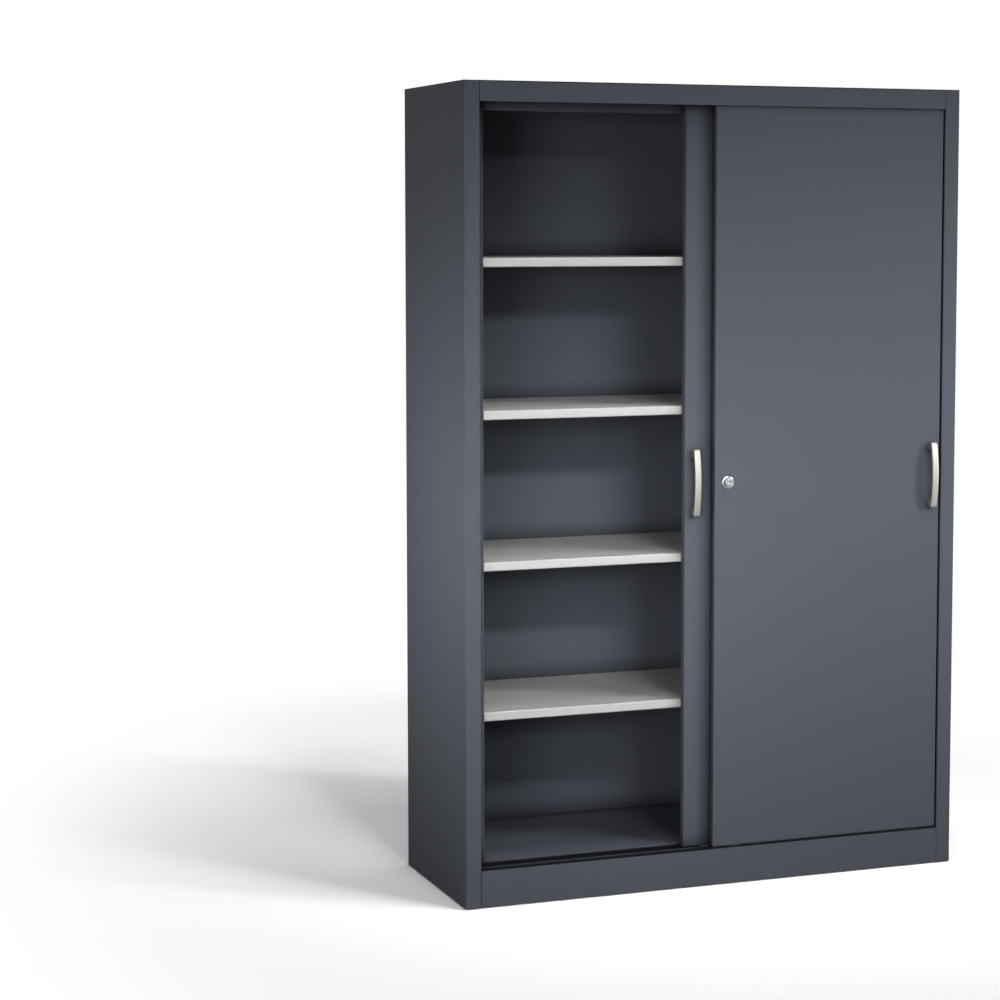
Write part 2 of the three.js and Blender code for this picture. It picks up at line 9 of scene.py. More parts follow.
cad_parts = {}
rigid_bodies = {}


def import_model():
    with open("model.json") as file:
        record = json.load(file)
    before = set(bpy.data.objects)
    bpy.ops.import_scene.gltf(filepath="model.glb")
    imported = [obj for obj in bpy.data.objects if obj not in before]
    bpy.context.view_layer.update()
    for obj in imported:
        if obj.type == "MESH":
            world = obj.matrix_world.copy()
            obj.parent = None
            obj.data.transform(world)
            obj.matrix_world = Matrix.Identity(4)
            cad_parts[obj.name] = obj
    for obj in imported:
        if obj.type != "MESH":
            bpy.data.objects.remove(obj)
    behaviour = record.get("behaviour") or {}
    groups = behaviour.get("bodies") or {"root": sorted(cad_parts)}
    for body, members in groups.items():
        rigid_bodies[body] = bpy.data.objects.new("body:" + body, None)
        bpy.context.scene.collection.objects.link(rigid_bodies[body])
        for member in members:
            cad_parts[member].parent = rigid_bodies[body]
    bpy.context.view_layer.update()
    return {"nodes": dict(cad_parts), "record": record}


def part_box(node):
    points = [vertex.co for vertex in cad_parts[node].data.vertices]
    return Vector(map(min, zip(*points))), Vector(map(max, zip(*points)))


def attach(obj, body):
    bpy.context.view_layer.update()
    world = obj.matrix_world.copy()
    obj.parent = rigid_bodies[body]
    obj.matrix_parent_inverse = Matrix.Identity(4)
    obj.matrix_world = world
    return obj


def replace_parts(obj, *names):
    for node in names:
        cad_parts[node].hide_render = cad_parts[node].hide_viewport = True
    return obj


bl_info = {
    "name": "Sliding Door Cabinet",
    "version": (1, 0, 0),
    "blender": (4, 5, 0),
    "location": "View3D > Sidebar > Cabinet",
    "description": "Dresses a steel cabinet with sliding doors and sets it in a plain studio",
    "category": "Object",
}

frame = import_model()

MM = 0.001
BODY_OF = {node: body for body, nodes in frame["record"]["behaviour"]["bodies"].items() for node in nodes}
SLOT_OF = {part["node"]: part["material_slot"] for part in frame["record"]["subparts"]}
SIDES = ("left", "right")


def linear(code):
    """Linear colour, with alpha, of an sRGB hex code."""
    parts = [int(code[i:i + 2], 16) / 255 for i in (1, 3, 5)]
    return [c / 12.92 if c <= 0.04045 else ((c + 0.055) / 1.055) ** 2.4 for c in parts] + [1.0]


def colour(name, description, code):
    """Colour property with its default as a hex code."""
    return bpy.props.FloatVectorProperty(
        name=name, description=description, subtype="COLOR", size=4, min=0, max=1, default=linear(code))


class CabinetSheetSettings(bpy.types.PropertyGroup):
    thickness: bpy.props.FloatProperty(
        name="Sheet", description="Thickness of the folded sheet",
        default=1 * MM, min=0.5 * MM, unit="LENGTH")
    pressed: bpy.props.FloatProperty(
        name="Pressed sheet", description="Thickness of clips and roller forks",
        default=1.5 * MM, min=0.5 * MM, unit="LENGTH")
    bend: bpy.props.FloatProperty(
        name="Bend radius", description="Outer radius of a fold",
        default=2.4 * MM, min=1 * MM, unit="LENGTH")
    cut: bpy.props.FloatProperty(
        name="Cut edge", description="Rounding that the coating gives a cut edge",
        default=0.3 * MM, min=0, unit="LENGTH")
    casting: bpy.props.FloatProperty(
        name="Handle edge", description="Radius along the handles' edges",
        default=2.6 * MM, min=0, unit="LENGTH")
    moulded: bpy.props.FloatProperty(
        name="Small edge", description="Radius on moulded and turned pieces",
        default=0.6 * MM, min=0, unit="LENGTH")
    steps: bpy.props.IntProperty(
        name="Bend steps", description="Facets round a quarter of a fold", default=4, min=1, max=12)


class CabinetFinishSettings(bpy.types.PropertyGroup):
    coat: colour("Powder coat", "Anthracite powder coat of carcass and doors", "#5b5f67")
    zinc: colour("Shelves", "Galvanised sheet of the shelves", "#c3c3c1")
    nickel: colour("Handles", "Satin nickel of the handles", "#acaba5")
    chrome: colour("Lock", "Chrome plate of the lock", "#b2b4b8")
    plated: colour("Small steel", "Zinc plate of clips, brackets and screws", "#8a8d91")
    # The polyamide black also colours the track lining, where it stands in for the channels' deep shade as
    # painted shade.
    polyamide: colour("Polyamide", "Moulded rollers, guides, feet and track lining", "#0c0d10")
    rubber: colour("Rubber", "Door stop", "#16171a")


class CabinetStageSettings(bpy.types.PropertyGroup):
    place: bpy.props.FloatVectorProperty(
        name="Camera", description="Where the camera stands",
        default=(-2.332, -5.291, 1.497), subtype="TRANSLATION")
    aim: bpy.props.FloatVectorProperty(
        name="Aim", description="Point that the camera looks at",
        default=(-0.404, -0.197, 1.026), subtype="TRANSLATION")
    lens: bpy.props.FloatProperty(
        name="Lens", description="Focal length in millimetres", default=90.43, min=10, unit="CAMERA")
    shift: bpy.props.FloatVectorProperty(
        name="Shift", description="Lens shift across and up", default=(-0.05, -0.06), size=2)
    daylight: bpy.props.FloatProperty(
        name="Daylight", description="Level of the light from all round", default=0.05, min=0)
    paper: bpy.props.FloatProperty(
        name="Paper", description="How light the lit floor looks to the camera", default=2.1, min=0)
    bounce: bpy.props.FloatProperty(
        name="Bounce", description="Share of its light that the floor gives back to the cabinet",
        default=0.6, min=0, max=1)
    lamps: bpy.props.FloatProperty(
        name="Lamps", description="Level of all the lamps against their set powers", default=1, min=0)


# Finishes

# Sizes of each finish's pattern, and the depths of its relief
COAT_CLOUD, COAT_PEEL, PEEL_DEPTH = 140 * MM, 2.5 * MM, 0.02 * MM
PAINTED_SHADE_REACH = 60 * MM  # how far from a wall or edge the painted corner shade still darkens the coat
SHADE_FREE_OPENNESS, DARKEST_SHADE_OPENNESS = 0.88, 0.25  # openness where the painted shade ends, and where it is darkest
PAINTED_SHADE_TONE = 0.08  # tone of the painted shade in the tightest corner, against that on an open face
ZINC_CRYSTAL, ZINC_STREAK, STREAK_DEPTH = 9 * MM, 3 * MM, 0.01 * MM
NICKEL_LINE, LINE_DEPTH = 0.8 * MM, 0.01 * MM
CHROME_SWIRL = 1.5 * MM
PLATE_MOTTLE = 4 * MM
MOULD_SKIN, MOULD_DEPTH = 0.6 * MM, 0.03 * MM
RUBBER_DUST, RUBBER_SKIN, RUBBER_DEPTH = 5 * MM, 0.8 * MM, 0.04 * MM
PAPER_FIBRE = 30 * MM


def add(material, kind, settings=None, **sockets):
    """Adds a node. Settings are its properties; sockets are values or other nodes' outputs, by name."""
    made = material.node_tree.nodes.new(kind)
    for name, value in (settings or {}).items():
        setattr(made, name, value)
    for name, value in sockets.items():
        socket = made.inputs[name.replace("_", " ")]
        if isinstance(value, bpy.types.NodeSocket):
            material.node_tree.links.new(value, socket)
        else:
            socket.default_value = value
    return made


def bare(name):
    """New material with an empty node tree and its output."""
    material = bpy.data.materials.new(name)
    material.use_nodes = True
    material.node_tree.nodes.clear()
    return material, add(material, "ShaderNodeOutputMaterial")


def surface(material, output, **sockets):
    """Principled surface on the material's output."""
    shader = add(material, "ShaderNodeBsdfPrincipled", None, **sockets)
    material.node_tree.links.new(shader.outputs["BSDF"], output.inputs["Surface"])


def grain(material, size, detail=2.0, stretch=(1, 1, 1)):
    """Noise whose waves are about size long on the object, stretched along an axis where it is below one."""
    place = add(material, "ShaderNodeTexCoord").outputs["Object"]
    if stretch != (1, 1, 1):
        place = add(material, "ShaderNodeMapping", None, Vector=place, Scale=stretch).outputs["Vector"]
    noise = add(material, "ShaderNodeTexNoise", None, Vector=place, Scale=1 / size, Detail=detail)
    return noise.outputs["Fac"]


def between(material, value, low, high):
    """Value from 0 to 1 spread between low and high."""
    return add(material, "ShaderNodeMapRange", None, Value=value, To_Min=low, To_Max=high).outputs["Result"]


def calculated(owner, operation, first, second):
    """Result of one operation on two node outputs."""
    made = add(owner, "ShaderNodeMath", {"operation": operation})
    owner.node_tree.links.new(first, made.inputs[0])
    owner.node_tree.links.new(second, made.inputs[1])
    return made.outputs["Value"]


def toned(material, value, colour_value, low, high):
    """The colour, darker to lighter by factors low to high, where the value goes from 0 to 1."""
    tint = between(material, value, low, high)
    return add(material, "ShaderNodeVectorMath", {"operation": "SCALE"},
               Vector=list(colour_value)[:3], Scale=tint).outputs["Vector"]


def bumps(material, height, depth, strength=1.0):
    """Normal of a relief whose full height is depth."""
    bump = add(material, "ShaderNodeBump", None, Height=height, Distance=depth, Strength=strength)
    return bump.outputs["Normal"]


def powder_coat(name, settings):
    """Polyester powder, sprayed and baked: even and low in sheen, with the faint orange peel of the melted
    grains. Real grains of 0.05 mm can't show, so the peel is drawn with waves of 2.5 mm. Seams and inner
    corners carry painted shade: the base colour is darkened where other surfaces stand near."""
    material, output = bare(name)
    cloud = between(material, grain(material, COAT_CLOUD), 0.97, 1.03)
    peel = grain(material, COAT_PEEL)
    # Painted shade: ambient occlusion darkens the base colour near walls, seams and inner corners.
    openness = add(material, "ShaderNodeAmbientOcclusion", {"samples": 8}, Distance=PAINTED_SHADE_REACH)
    painted_shade = add(material, "ShaderNodeMapRange", None, Value=openness.outputs["AO"],
                  From_Min=DARKEST_SHADE_OPENNESS, From_Max=SHADE_FREE_OPENNESS, To_Min=PAINTED_SHADE_TONE).outputs["Result"]
    surface(
        material, output,
        Base_Color=toned(material, calculated(material, "MULTIPLY", cloud, painted_shade), settings.coat, 0, 1),
        Roughness=between(material, peel, 0.6, 0.7),
        Specular_IOR_Level=0.06,
        Normal=bumps(material, peel, PEEL_DEPTH))
    return material


def galvanised_sheet(name, settings):
    """Hot-dip zinc, rolled smooth: pale warm grey, faintly streaked along the sheet as it was rolled, with
    flat crystals of about 9 mm that hardly differ in tone."""
    material, output = bare(name)
    place = add(material, "ShaderNodeTexCoord").outputs["Object"]
    crystals = add(material, "ShaderNodeTexVoronoi", None, Vector=place, Scale=1 / ZINC_CRYSTAL)
    tone = add(material, "ShaderNodeSeparateColor", None, Color=crystals.outputs["Color"]).outputs["Red"]
    streak = grain(material, ZINC_STREAK, 3.0, (0.02, 1, 1))
    mixed = add(material, "ShaderNodeMix", {"data_type": "FLOAT"}, Factor=0.25, A=streak, B=tone)
    rolled = mixed.outputs["Result"]
    surface(
        material, output,
        Base_Color=toned(material, rolled, settings.zinc, 0.93, 1.05),
        Metallic=0.15,
        Roughness=between(material, streak, 0.42, 0.55),
        Normal=bumps(material, streak, STREAK_DEPTH, 0.3))
    return material


def satin_nickel(name, settings):
    """Zinc die casting, brushed and nickel plated: warm pale metal with fine lines along the grip."""
    material, output = bare(name)
    lines = grain(material, NICKEL_LINE, 3.0, (1, 1, 0.06))
    surface(
        material, output,
        Base_Color=toned(material, lines, settings.nickel, 0.94, 1.03),
        Metallic=1.0,
        Roughness=between(material, lines, 0.44, 0.56),
        Normal=bumps(material, lines, LINE_DEPTH, 0.4))
    return material


def chrome_plate(name, settings):
    """Turned brass, polished and chromed: mirror bright, with the faint swirl of polishing."""
    material, output = bare(name)
    swirl = grain(material, CHROME_SWIRL)
    surface(
        material, output,
        Base_Color=toned(material, swirl, settings.chrome, 0.96, 1.02),
        Metallic=1.0,
        Roughness=between(material, swirl, 0.2, 0.3))
    return material


def zinc_plate(name, settings):
    """Pressed steel, barrel zinc plated: bluish grey metal, dull and a little mottled."""
    material, output = bare(name)
    mottle = grain(material, PLATE_MOTTLE, 4.0)
    surface(
        material, output,
        Base_Color=toned(material, mottle, settings.plated, 0.86, 1.05),
        Metallic=1.0,
        Roughness=between(material, mottle, 0.42, 0.58))
    return material


def moulded_polyamide(name, settings):
    """Injection moulded polyamide with the dull fine skin of an eroded mould."""
    material, output = bare(name)
    skin = grain(material, MOULD_SKIN)
    surface(
        material, output,
        Base_Color=toned(material, skin, settings.polyamide, 0.85, 1.15),
        Roughness=between(material, skin, 0.5, 0.65),
        Specular_IOR_Level=0.15,
        Normal=bumps(material, skin, MOULD_DEPTH, 0.5))
    return material


def moulded_rubber(name, settings):
    """Pressed rubber: nearly black, dull, and a little dusty."""
    material, output = bare(name)
    dust = grain(material, RUBBER_DUST, 4.0)
    surface(
        material, output,
        Base_Color=toned(material, dust, settings.rubber, 0.8, 1.4),
        Roughness=between(material, dust, 0.75, 0.92),
        Normal=bumps(material, grain(material, RUBBER_SKIN), RUBBER_DEPTH, 0.5))
    return material


FINISHES = {
    "anthracite_powder_coat": ("Anthracite powder coat", powder_coat),
    "galvanised_steel": ("Galvanised sheet", galvanised_sheet),
    "satin_nickel": ("Satin nickel plate", satin_nickel),
    "lock_chrome": ("Chrome plate", chrome_plate),
    "zinc_steel": ("Bright zinc plate", zinc_plate),
    "black_plastic": ("Moulded polyamide", moulded_polyamide),
    "stop_rubber": ("Moulded rubber", moulded_rubber),
}


def finish(slot):
    """The material of a slot in the record, made when it is first asked for."""
    name, maker = FINISHES[slot]
    return bpy.data.materials.get(name) or maker(name, bpy.context.scene.cabinet_finish)


# Shapes

FOLD_ANGLE = math.radians(30)  # a sharper turn than this between two faces is an edge of the real piece
FLAT_ANGLE = math.radians(0.5)  # faces that turn less than this are one flat face
SAME_POINT = 0.01 * MM
CUT_FACE = 1.3  # a face narrower than this many thicknesses is the sheet's cut
WIDEST_BEND, WIDEST_EDGE = 0.45, 0.3  # most of a face's width that a bend, or a small edge, may take
SMALL_STEPS = 2  # facets round a quarter of a small edge
SHORTEST_FOLD = 100 * MM  # a shorter edge is an end or a corner
RIM_DEPTH = 0.1 * MM  # what lies this near a tray's rim belongs to it
SQUARE_SEAM = 0.1 * MM  # a seam that leaves the square by less than this counts as square


def whole_faces(node):
    """The node's mesh as a bmesh, joined along its edges and with each flat face in one piece."""
    made = bmesh.new()
    made.from_mesh(frame["nodes"][node].data)
    bmesh.ops.remove_doubles(made, verts=made.verts, dist=SAME_POINT)
    bmesh.ops.dissolve_limit(made, angle_limit=FLAT_ANGLE, verts=made.verts, edges=made.edges)
    return made


def strip_width(face):
    """Width of a face that is much longer than it is wide."""
    return 2 * face.calc_area() / face.calc_perimeter()


def fold_radius(edge, sheet, thickness, cut):
    """Radius on one edge of a sheet piece: a fold's outer or inner radius, or a cut edge's rounding."""
    narrow = min(strip_width(face) for face in edge.link_faces)
    if narrow < CUT_FACE * thickness:
        wanted = cut
    elif edge.is_convex:
        wanted = sheet.bend
    else:
        wanted = sheet.bend - sheet.thickness
    return min(wanted, WIDEST_BEND * narrow)


def small_radius(edge, radius):
    """The radius, or less where a face beside the edge is narrow."""
    return min(radius, WIDEST_EDGE * min(strip_width(face) for face in edge.link_faces))


def is_long(edge):
    """True for an edge along a piece, and not for one at its corners or ends."""
    return edge.calc_length() > SHORTEST_FOLD


def piece(name, source, radius_of, steps, slot, body):
    """New piece from a bmesh whose sharp edges are bevelled by radius_of(edge)."""
    weights = source.edges.layers.float.new("bevel_weight_edge")
    sharp = [edge for edge in source.edges
             if len(edge.link_faces) == 2 and edge.calc_face_angle(0) > FOLD_ANGLE]
    radii = [radius_of(edge) for edge in sharp]
    for edge, radius in zip(sharp, radii):
        edge[weights] = radius / max(radii)
    for face in source.faces:
        face.smooth = True
    mesh = bpy.data.meshes.new(name)
    source.to_mesh(mesh)
    source.free()
    mesh.materials.append(finish(slot))
    made = bpy.data.objects.new(name, mesh)
    bpy.context.scene.collection.objects.link(made)
    bevel = made.modifiers.new("Bends", "BEVEL")
    bevel.limit_method = "WEIGHT"
    bevel.width = max(radii)
    bevel.segments = steps
    bevel.use_clamp_overlap = False
    made.modifiers.new("Flat faces", "WEIGHTED_NORMAL")
    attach(made, body)
    return made


def stand_in(node, way, source, radius_of, steps):
    """Piece that stands for a CAD node, with its finish and body. Its name says how the real one is made."""
    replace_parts(piece(f"{node}_{way}", source, radius_of, steps, SLOT_OF[node], BODY_OF[node]), node)


def folded(node, thickness, sharp_cuts=False):
    """Sheet piece with true bend radii. The cut edges of a piece with lips that meet in a corner stay sharp,
    because a rounding would run past the corner."""
    sheet = bpy.context.scene.cabinet_sheet
    cut = 0 if sharp_cuts else sheet.cut
    stand_in(node, "folded", whole_faces(node),
             lambda edge: fold_radius(edge, sheet, thickness, cut), sheet.steps)


def tray(node, rim):
    """Sheet tray whose open side has its rim at y = rim: side lips between the thin edges of the top and
    bottom walls. The seams in the flat rim run square across it where a lip ends, and its cut edges stay
    sharp, because a rounding there would run past the corners."""
    sheet = bpy.context.scene.cabinet_sheet
    made = whole_faces(node)

    def in_rim(item):
        return all(abs(vert.co.y - rim) < RIM_DEPTH for vert in item.verts)

    def way(edge):
        start, end = (vert.co for vert in edge.verts)
        return abs(end.x - start.x), abs(end.z - start.z)

    def radius_of(edge):
        across, up = way(edge)
        if in_rim(edge) and across > up:
            return 0
        return fold_radius(edge, sheet, sheet.thickness, 0)

    flat = [face for face in made.faces if in_rim(face)]
    lip_ends = {round(vert.co.x, 5) for face in flat for vert in face.verts}
    for lip_end in sorted(lip_ends)[1:-1]:
        flat = [face for face in made.faces if in_rim(face)]
        parts = {part for face in flat for part in (face, *face.edges, *face.verts)}
        bmesh.ops.bisect_plane(
            made, geom=list(parts), dist=0.1 * SAME_POINT, plane_co=(lip_end, 0, 0), plane_no=(1, 0, 0))
    slanted = [edge for edge in made.edges if in_rim(edge) and min(way(edge)) > SQUARE_SEAM]
    bmesh.ops.dissolve_edges(made, edges=slanted, use_verts=False)
    stand_in(node, "folded", made, radius_of, sheet.steps)


def moulded(node):
    """Block whose edges all have one small radius."""
    sheet = bpy.context.scene.cabinet_sheet
    stand_in(node, "moulded", whole_faces(node),
             lambda edge: small_radius(edge, sheet.moulded), sheet.steps)


def turned(place, axis, profile, steps=48):
    """Solid turned about an axis through place, from pairs of radius and way along the axis in millimetres.
    A profile that starts on the axis ends there too, and any other one is a closed loop round a bore."""
    made = bmesh.new()
    ring = [made.verts.new((radius * MM, 0, along * MM)) for radius, along in profile]
    pairs = list(zip(ring, ring[1:]))
    if profile[0][0] > 0:
        pairs.append((ring[-1], ring[0]))
    edges = [made.edges.new(pair) for pair in pairs]
    bmesh.ops.spin(made, geom=ring + edges, cent=(0, 0, 0), axis=(0, 0, 1), angle=math.tau, steps=steps)
    bmesh.ops.remove_doubles(made, verts=made.verts, dist=0.2 * SAME_POINT)
    bmesh.ops.recalc_face_normals(made, faces=made.faces)
    upright = Vector((0, 0, 1)).rotation_difference(Vector(axis)).to_matrix().to_4x4()
    made.transform(Matrix.Translation(place) @ upright)
    return made


def thread(radius, depth, pitch, start, end):
    """Profile pairs of a screw thread, drawn as rings."""
    turns = int((end - start) / pitch)
    return [pair for i in range(turns) for pair in (
        (radius, start + (i + 0.1) * pitch), (radius - depth, start + (i + 0.6) * pitch))]


def bar(low, high):
    """Box between two corners, as a bmesh."""
    made = bmesh.new()
    bmesh.ops.create_cube(made, size=1)
    low, high = Vector(low), Vector(high)
    for vert in made.verts:
        vert.co = [a + (b - a) * (c + 0.5) for a, b, c in zip(low, high, vert.co)]
    return made


def plain_object(source):
    """Object of a bmesh, for work on its shape."""
    mesh = bpy.data.meshes.new("Blank")
    source.to_mesh(mesh)
    source.free()
    made = bpy.data.objects.new("Blank", mesh)
    bpy.context.scene.collection.objects.link(made)
    return made


def carved(source, tools):
    """The bmesh less each of the tools."""
    blank = plain_object(source)
    cutters = [plain_object(tool) for tool in tools]
    for cutter in cutters:
        cut = blank.modifiers.new("Cut", "BOOLEAN")
        cut.operation = "DIFFERENCE"
        cut.solver = "EXACT"
        cut.object = cutter
    made = bmesh.new()
    made.from_object(blank, bpy.context.evaluated_depsgraph_get())
    for used in (blank, *cutters):
        bpy.data.objects.remove(used)
    return made


def drawn_along_x(outline, left, right):
    """Bar of one outline, given as y and z, from left to right."""
    made = bmesh.new()
    face = made.faces.new([made.verts.new((left, y, z)) for y, z in outline])
    run = bmesh.ops.extrude_face_region(made, geom=[face])["geom"]
    for vert in run:
        if isinstance(vert, bmesh.types.BMVert):
            vert.co.x = right
    bmesh.ops.recalc_face_normals(made, faces=made.faces)
    return made


# Pieces

WELD_GAP, WELD_DEPTH = 0.5 * MM, 0.8 * MM


def welded_floor():
    """Floor panel, reaching into the posts' sheet where it is welded to them, so that no light shows
    between. An edge nearer than the gap to a post is welded."""
    sheet = bpy.context.scene.cabinet_sheet
    floor = whole_faces("bottom_panel")
    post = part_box("left_side_panel")[1].x
    for vert in floor.verts:
        if abs(abs(vert.co.x) - abs(post)) < WELD_GAP:
            vert.co.x += math.copysign(WELD_DEPTH, vert.co.x)
    stand_in("bottom_panel", "folded", floor,
             lambda edge: fold_radius(edge, sheet, sheet.thickness, sheet.cut), sheet.steps)


def outer_folds(edge):
    """Radius on the back panel: only the outsides of its long folds are rounded."""
    sheet = bpy.context.scene.cabinet_sheet
    return fold_radius(edge, sheet, sheet.thickness, 0) if edge.is_convex and is_long(edge) else 0


class CabinetCarcass(bpy.types.Operator):
    """Sides with their posts, back, lid and floor of the cabinet"""
    bl_idname = "cabinet.carcass"
    bl_label = "Carcass"

    def execute(self, context):
        sheet = context.scene.cabinet_sheet
        for node in ("left_side_panel", "right_side_panel"):
            folded(node, sheet.thickness)
        folded("top_panel", sheet.thickness, sharp_cuts=True)
        stand_in("back_panel", "folded", whole_faces("back_panel"), outer_folds, sheet.steps)
        welded_floor()
        return {"FINISHED"}


# Black polyamide lining of the two channels, as y and z from the track's lowest front corner in millimetres.
# Its black is also painted shade: it stands in for the deep shade in the channels. Its outer walls stand above
# the track and lap over the lips.
FRONT_SHADE_LINING = (
    (1.05, 1.03), (22.65, 1.03), (22.65, 19.4), (21.85, 19.4), (21.85, 1.25), (1.85, 1.25),
    (1.85, 23.55), (-0.85, 23.55), (-0.85, 20.4), (-0.05, 20.4), (-0.05, 22.4), (1.05, 22.4),
)
REAR_SHADE_LINING = (
    (24.75, 1.03), (46.35, 1.03), (46.35, 25), (47.6, 25), (47.6, 25.8),
    (45.55, 25.8), (45.55, 1.25), (25.55, 1.25), (25.55, 21.4), (24.75, 21.4),
)


class CabinetRails(bpy.types.Operator):
    """Header, plinth, and the two rails that the doors run in"""
    bl_idname = "cabinet.rails"
    bl_label = "Rails"

    def execute(self, context):
        sheet = context.scene.cabinet_sheet
        for node in ("header_rail", "plinth_rail"):
            folded(node, sheet.thickness)
        for node in ("top_guide_rail", "bottom_track"):
            folded(node, sheet.thickness, sharp_cuts=True)
        low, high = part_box("bottom_track")
        # The lining's black is partly painted shade: it gives the channels the darkness of their deep shade.
        for name, outline in (("front", FRONT_SHADE_LINING), ("rear", REAR_SHADE_LINING)):
            lining = drawn_along_x([(low.y + y * MM, low.z + z * MM) for y, z in outline], low.x, high.x)
            piece(f"track_shade_lining_{name}", lining,
                  lambda edge: small_radius(edge, sheet.cut) if is_long(edge) else 0,
                  SMALL_STEPS, "black_plastic", "carcass")
        moulded("left_door_stop")
        return {"FINISHED"}


class CabinetShelves(bpy.types.Operator):
    """Shelves with the clips that carry them"""
    bl_idname = "cabinet.shelves"
    bl_label = "Shelves"

    def execute(self, context):
        sheet = context.scene.cabinet_sheet
        for node in sorted(frame["nodes"]):
            if node.startswith("shelf_"):
                if "clip" in node:
                    folded(node, sheet.pressed)
                else:
                    folded(node, sheet.thickness, sharp_cuts=True)
        return {"FINISHED"}


# Levelling foot from the floor up: pad, nut, and stud with an M8 thread. Radius and height in millimetres.
NUT_BOTTOM, NUT_TOP, NUT_FLATS, NUT_RADIUS = 7, 11.7, 12, 6.9
STUD, THREAD_DEPTH, THREAD_PITCH = 4, 0.7, 1.25
FOOT = [
    (0, 0), (12.6, 0), (14, 1.2), (14, 3.2), (13.2, 4), (9, 5), (6, 5.6), (6, NUT_BOTTOM),
    (NUT_RADIUS, NUT_BOTTOM), (NUT_RADIUS, NUT_TOP), (STUD, NUT_TOP),
    *thread(STUD, THREAD_DEPTH, THREAD_PITCH, NUT_TOP, 37), (3.3, 37.4), (2.7, 38), (0, 38),
]


def six_sided_nut(foot, place):
    """The turned foot, with its round nut drawn in to six flats."""
    for vert in foot.verts:
        out = (vert.co - place).to_2d()
        height = vert.co.z / MM
        if NUT_BOTTOM - 0.01 <= height <= NUT_TOP + 0.01 and out.length > (NUT_RADIUS - 0.4) * MM:
            off_flat = math.atan2(out.y, out.x) % (math.tau / 6) - math.tau / 12
            out *= NUT_FLATS / 2 * MM / math.cos(off_flat) / out.length
            vert.co.xy = place.xy + out
    return foot


class CabinetFeet(bpy.types.Operator):
    """Levelling feet under the plinth and the back"""
    bl_idname = "cabinet.feet"
    bl_label = "Levelling feet"

    def execute(self, context):
        sheet = context.scene.cabinet_sheet
        for node in sorted(frame["nodes"]):
            if node.startswith("levelling_foot"):
                low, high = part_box(node)
                place = Vector(((low.x + high.x) / 2, (low.y + high.y) / 2, low.z))
                foot = six_sided_nut(turned(place, (0, 0, 1), FOOT), place)
                stud = low.z + (NUT_TOP + 0.5) * MM
                stand_in(node, "turned", foot,
                         lambda edge: 0 if edge.verts[0].co.z > stud else small_radius(edge, sheet.moulded),
                         SMALL_STEPS)
        return {"FINISHED"}


class CabinetDoors(bpy.types.Operator):
    """Door skins with the hat profiles that stiffen them"""
    bl_idname = "cabinet.doors"
    bl_label = "Doors"

    def execute(self, context):
        sheet = context.scene.cabinet_sheet
        for side in SIDES:
            tray(f"{side}_door_skin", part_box(f"{side}_door_skin")[1].y)
            folded(f"{side}_door_stiffener", sheet.thickness)
        return {"FINISHED"}


# Roller round its bore: hub, thinner web and tread, as radius and way along the axle in millimetres.
ROLLER = (
    (2.3, -3), (3.9, -3), (4.2, -2), (6.7, -2), (7, -3), (8.5, -3), (9, -2.5),
    (9, 2.5), (8.5, 3), (7, 3), (6.7, 2), (4.2, 2), (3.9, 3), (2.3, 3),
)


class CabinetRunningGear(bpy.types.Operator):
    """Roller forks and rollers below the doors, guides above them"""
    bl_idname = "cabinet.running_gear"
    bl_label = "Running gear"

    def execute(self, context):
        sheet = context.scene.cabinet_sheet
        for side in SIDES:
            for end in ("a", "b"):
                folded(f"{side}_roller_bracket_{end}", sheet.pressed)
                moulded(f"{side}_top_guide_{end}")
                node = f"{side}_roller_{end}"
                low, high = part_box(node)
                stand_in(node, "turned", turned((low + high) / 2, (0, 1, 0), ROLLER),
                         lambda edge: small_radius(edge, sheet.moulded), SMALL_STEPS)
        return {"FINISHED"}


# Pan head screw, as radius and way along it in millimetres, from the underside of the head. The recess is
# a cross.
SCREW_LENGTH = 9.3
SCREW = [
    (0, -SCREW_LENGTH), (1.3, -SCREW_LENGTH), *thread(2, 0.35, 0.9, -8.7, -2), (2, -1.6), (2, 0),
    (3.8, 0), (4, 0.3), (4, 1.2), (3.5, 2), (2.6, 2.4), (0, 2.5),
]
RECESS_REACH, RECESS_WIDTH, RECESS_DEPTH = 2.3, 0.9, 1.4
DOOR_SIDE = 0.2 * MM  # what lies this near a handle's feet faces the door
BORE_FACET = 2 * MM  # faces narrower than this at the feet belong to the screw holes


class CabinetHandles(bpy.types.Operator):
    """Bow handles with the screws that hold them"""
    bl_idname = "cabinet.handles"
    bl_label = "Handles"

    def execute(self, context):
        sheet = context.scene.cabinet_sheet
        for side in SIDES:
            node = f"{side}_door_handle"
            door_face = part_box(node)[1].y - DOOR_SIDE

            def radius_of(edge):
                touching = [vert.co.y > door_face for vert in edge.verts]
                narrow = min(strip_width(face) for face in edge.link_faces)
                in_bore = any(touching) and narrow < BORE_FACET
                return 0 if all(touching) or in_bore else sheet.casting

            stand_in(node, "cast", whole_faces(node), radius_of, sheet.steps)
            for end in ("upper", "lower"):
                node = f"{side}_handle_screw_{end}"
                low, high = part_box(node)
                seat = Vector(((low.x + high.x) / 2, low.y + SCREW_LENGTH * MM, (low.z + high.z) / 2))
                tools = []
                for reach, width in ((RECESS_REACH, RECESS_WIDTH / 2), (RECESS_WIDTH / 2, RECESS_REACH)):
                    half = Vector((reach, RECESS_DEPTH, width)) * MM
                    middle = Vector((seat.x, high.y, seat.z))
                    tools.append(bar(middle - half, middle + half))
                screw = carved(turned(seat, (0, 1, 0), SCREW, 32), tools)
                stand_in(node, "turned", screw,
                         lambda edge: 0 if edge.verts[0].co.y < seat.y else small_radius(edge, sheet.cut),
                         SMALL_STEPS)
        return {"FINISHED"}


